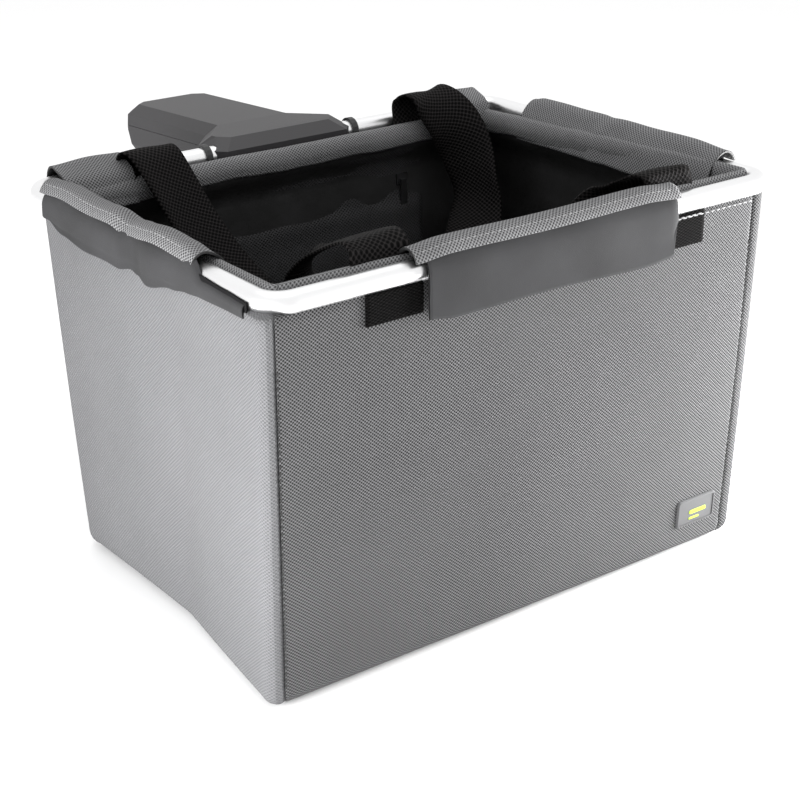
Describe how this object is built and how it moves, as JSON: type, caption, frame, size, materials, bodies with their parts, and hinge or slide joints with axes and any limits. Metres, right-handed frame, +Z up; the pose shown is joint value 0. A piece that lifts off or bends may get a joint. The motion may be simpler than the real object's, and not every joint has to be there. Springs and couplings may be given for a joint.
{
  "type": "handlebar basket",
  "caption": "Open fabric basket hung on a tubular metal rim by wrap-over flaps, with webbing carrying loops, a zipped inner pocket and a rear handlebar adapter.",
  "frame": {"origin": "middle of the flat base, on the plane the basket stands on", "axes": "+Z up, front wall faces -Y, handlebar side +Y, +X to the right seen from the front"},
  "size_m": [0.3738, 0.4334, 0.2598],
  "materials": {
    "fabric_grey": "woven honeycomb, matt",
    "fabric_smooth": "brushed loop fabric, matt",
    "lining_black": "coated nylon, low sheen",
    "webbing_black": "woven webbing, matt",
    "aluminium": "satin anodised",
    "plastic_dark": "fine texture",
    "board_black": "smooth",
    "zip_black": "moulded",
    "zip_metal": "black oxide",
    "rubber_grey": "matt",
    "steel": "plain"
  },
  "bodies": {
    "basket": {"adapter_cover": "plastic_dark", "adapter_screw_1": "steel", "adapter_screw_2": "steel", "adapter_shell": "plastic_dark", "base_board": "board_black", "bottom_panel": "fabric_grey", "floor_lining": "lining_black", "front_board": "board_black", "front_facing": "fabric_grey", "front_handle_end_left": "webbing_black", "front_handle_end_right": "webbing_black", "front_lining": "lining_black", "front_panel": "fabric_grey", "front_sleeve": "fabric_grey", "hook_pad_front": "webbing_black", "hook_pad_left": "webbing_black", "hook_pad_right": "webbing_black", "label_patch": "rubber_grey", "latch_spring": "steel", "left_facing": "fabric_grey", "left_lining": "lining_black", "left_panel": "fabric_grey", "left_sleeve": "fabric_grey", "piping_front_left": "fabric_grey", "piping_front_right": "fabric_grey", "piping_rear_left": "fabric_grey", "piping_rear_right": "fabric_grey", "pocket_panel": "lining_black", "pocket_top_strip": "lining_black", "rear_board": "board_black", "rear_facing": "fabric_grey", "rear_handle_end_left": "webbing_black", "rear_handle_end_right": "webbing_black", "rear_left_sleeve": "fabric_grey", "rear_lining": "lining_black", "rear_panel": "fabric_grey", "rear_right_sleeve": "fabric_grey", "right_facing": "fabric_grey", "right_lining": "lining_black", "right_panel": "fabric_grey", "right_sleeve": "fabric_grey", "rim_collar_left": "plastic_dark", "rim_collar_right": "plastic_dark", "rim_frame": "aluminium", "rim_joiner": "steel", "socket_plate": "steel", "zip_teeth_lower": "zip_black", "zip_teeth_upper": "zip_black"},
    "front_flap": {"front_flap": "fabric_smooth"},
    "left_flap": {"left_flap": "fabric_smooth"},
    "right_flap": {"right_flap": "fabric_smooth"},
    "rear_left_flap": {"rear_left_flap": "fabric_smooth"},
    "rear_right_flap": {"rear_right_flap": "fabric_smooth"},
    "front_handle": {"front_handle": "webbing_black"},
    "rear_handle": {"rear_handle": "webbing_black"},
    "zip_slider": {"zip_slider": "zip_metal"},
    "zip_pull": {"zip_pull": "zip_metal"},
    "latch": {"release_tab": "plastic_dark", "latch_bolt": "steel"}
  },
  "joints": [
    {"name": "front_flap_hinge", "type": "hinge", "parent": "basket", "child": "front_flap", "pos_m": [0, -0.1347, 0.2513], "axis": [-1, 0, 0], "range_deg": [0, 110]},
    {"name": "left_flap_hinge", "type": "hinge", "parent": "basket", "child": "left_flap", "pos_m": [-0.1792, 0.0155, 0.2513], "axis": [0, 1, 0], "range_deg": [0, 110]},
    {"name": "right_flap_hinge", "type": "hinge", "parent": "basket", "child": "right_flap", "pos_m": [0.1792, -0.008, 0.2513], "axis": [0, -1, 0], "range_deg": [0, 110]},
    {"name": "rear_left_flap_hinge", "type": "hinge", "parent": "basket", "child": "rear_left_flap", "pos_m": [-0.141, 0.1347, 0.2513], "axis": [1, 0, 0], "range_deg": [0, 110]},
    {"name": "rear_right_flap_hinge", "type": "hinge", "parent": "basket", "child": "rear_right_flap", "pos_m": [0.141, 0.1347, 0.2513], "axis": [1, 0, 0], "range_deg": [0, 110]},
    {"name": "front_handle_hinge", "type": "hinge", "parent": "basket", "child": "front_handle", "pos_m": [0, -0.1255, 0.2478], "axis": [1, 0, 0], "range_deg": [0, 125]},
    {"name": "rear_handle_hinge", "type": "hinge", "parent": "basket", "child": "rear_handle", "pos_m": [0, 0.12, 0.2478], "axis": [-1, 0, 0], "range_deg": [0, 125]},
    {"name": "zip_slide", "type": "slide", "parent": "basket", "child": "zip_slider", "axis": [-1, 0, 0], "range_m": [0, 0.19]},
    {"name": "zip_pull_hinge", "type": "hinge", "parent": "zip_slider", "child": "zip_pull", "pos_m": [0.096, 0.12466, 0.201], "axis": [-1, 0, 0], "range_deg": [0, 120]},
    {"name": "release_slide", "type": "slide", "parent": "basket", "child": "latch", "axis": [0, 1, 0], "range_m": [0, 0.005], "stiffness_N_per_m": 600, "springref_m": -0.004, "deforming": ["latch_spring"]}
  ]
}
